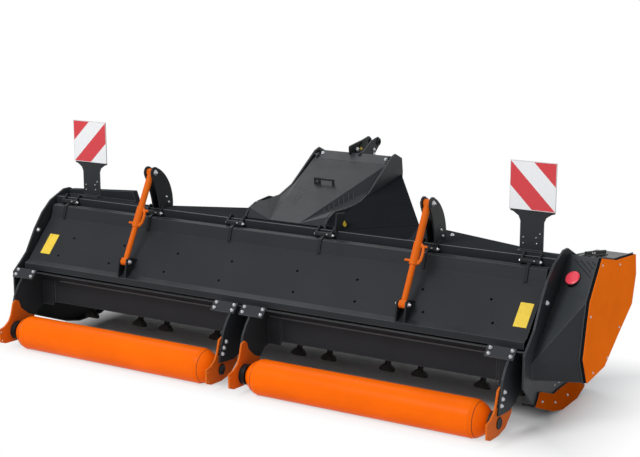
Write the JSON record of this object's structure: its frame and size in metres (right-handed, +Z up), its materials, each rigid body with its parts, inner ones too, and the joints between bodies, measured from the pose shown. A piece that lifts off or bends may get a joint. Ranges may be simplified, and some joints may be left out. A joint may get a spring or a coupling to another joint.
{
  "type": "tractor mulcher",
  "caption": "Wide rear-mounted tractor mulcher with hammer rotor, opening rear door on stays, twin support rollers, belt drive and three-point headstock.",
  "frame": {"origin": "bottom centre of the machine's box, on the ground", "axes": "+X to the machine's right, +Y forward to the tractor, +Z up"},
  "size_m": [3.97, 1.938, 1.433],
  "materials": {
    "anthracite": "semi-gloss powder coat",
    "anthracite_dark": "semi-gloss powder coat",
    "orange": "gloss paint",
    "steel": "zinc plated",
    "worn_steel": "bare forged steel",
    "cast": "painted casting",
    "board": "reflective sheet, red and white stripes",
    "reflector": "prismatic reflector"
  },
  "bodies": {
    "root": {"side_plate_left": "anthracite", "side_plate_right": "anthracite", "skid_left": "orange", "skid_right": "orange", "hood": "anthracite", "deck_beam": "anthracite", "front_beam": "anthracite", "rear_wall": "anthracite", "front_flaps": "anthracite_dark", "rotor_bearing": "cast", "hinge_ears": "anthracite_dark", "belt_housing": "anthracite", "belt_cover": "orange", "reflector": "reflector", "headstock_plate_left": "anthracite", "headstock_plate_right": "anthracite", "headstock_flares": "anthracite", "headstock_top": "anthracite", "headstock_floor": "anthracite", "gearbox": "cast", "drive_tube": "anthracite", "top_link_plates": "anthracite_dark", "lower_link_left": "anthracite_dark", "lower_link_right": "anthracite_dark", "lid_pins": "steel", "sign_posts": "anthracite_dark", "sign_boards": "board", "roller_bearings_left": "anthracite_dark", "roller_plates_left": "orange", "roller_arms_left": "anthracite_dark", "horn_left": "anthracite_dark", "roller_bearings_right": "anthracite_dark", "roller_plates_right": "orange", "roller_arms_right": "anthracite_dark", "horn_right": "anthracite_dark"},
    "door": {"door": "anthracite", "door_straps": "anthracite_dark", "stay_brackets": "anthracite_dark"},
    "roller_left": {"roller_left": "orange"},
    "roller_right": {"roller_right": "orange"},
    "rotor": {"hammer_rotor": "worn_steel"},
    "lid": {"lid": "anthracite", "lid_handle": "anthracite_dark"},
    "input_shaft": {"input_shaft": "steel"},
    "stay_tube_left": {"stay_tube_left": "orange"},
    "stay_tube_right": {"stay_tube_right": "orange"},
    "stay_rod_left": {"stay_rod_left": "orange"},
    "stay_rod_right": {"stay_rod_right": "orange"}
  },
  "joints": [
    {"name": "door_hinge", "type": "hinge", "parent": "root", "child": "door", "pos_m": [-0.097, -0.28, 0.89], "axis": [-1, 0, 0], "range_deg": [0, 50]},
    {"name": "lid_hinge", "type": "hinge", "parent": "root", "child": "lid", "pos_m": [-0.097, 0.647, 1.208], "axis": [-1, 0, 0], "range_deg": [0, 70]},
    {"name": "rotor_spin", "type": "hinge", "parent": "root", "child": "rotor", "pos_m": [-0.097, -0.13, 0.345], "axis": [1, 0, 0], "continuous": true},
    {"name": "roller_left_spin", "type": "hinge", "parent": "root", "child": "roller_left", "pos_m": [-1.0075, -0.811, 0.1095], "axis": [1, 0, 0], "continuous": true},
    {"name": "roller_right_spin", "type": "hinge", "parent": "root", "child": "roller_right", "pos_m": [0.8135, -0.811, 0.1095], "axis": [1, 0, 0], "continuous": true},
    {"name": "input_spin", "type": "hinge", "parent": "root", "child": "input_shaft", "pos_m": [-0.097, 0.68, 0.735], "axis": [0, 1, 0], "continuous": true},
    {"name": "stay_left_swing", "type": "hinge", "parent": "root", "child": "stay_tube_left", "pos_m": [-1.072, -0.296, 1.162], "axis": [-1, 0, 0], "range_deg": [0, 33.38]},
    {"name": "stay_left_slide", "type": "slide", "parent": "stay_tube_left", "child": "stay_rod_left", "axis": [0, 0.4795, 0.8775], "range_m": [0, 0.175]},
    {"name": "stay_right_swing", "type": "hinge", "parent": "root", "child": "stay_tube_right", "pos_m": [0.943, -0.296, 1.162], "axis": [-1, 0, 0], "range_deg": [0, 33.38]},
    {"name": "stay_right_slide", "type": "slide", "parent": "stay_tube_right", "child": "stay_rod_right", "axis": [0, 0.4795, 0.8775], "range_m": [0, 0.175]}
  ],
  "couplings": [
    {"joint": "stay_left_swing", "follows": "door_hinge", "ratio": 0.6675},
    {"joint": "stay_left_slide", "follows": "door_hinge", "m_per_rad": 0.2004},
    {"joint": "stay_right_swing", "follows": "door_hinge", "ratio": 0.6675},
    {"joint": "stay_right_slide", "follows": "door_hinge", "m_per_rad": 0.2004}
  ]
}
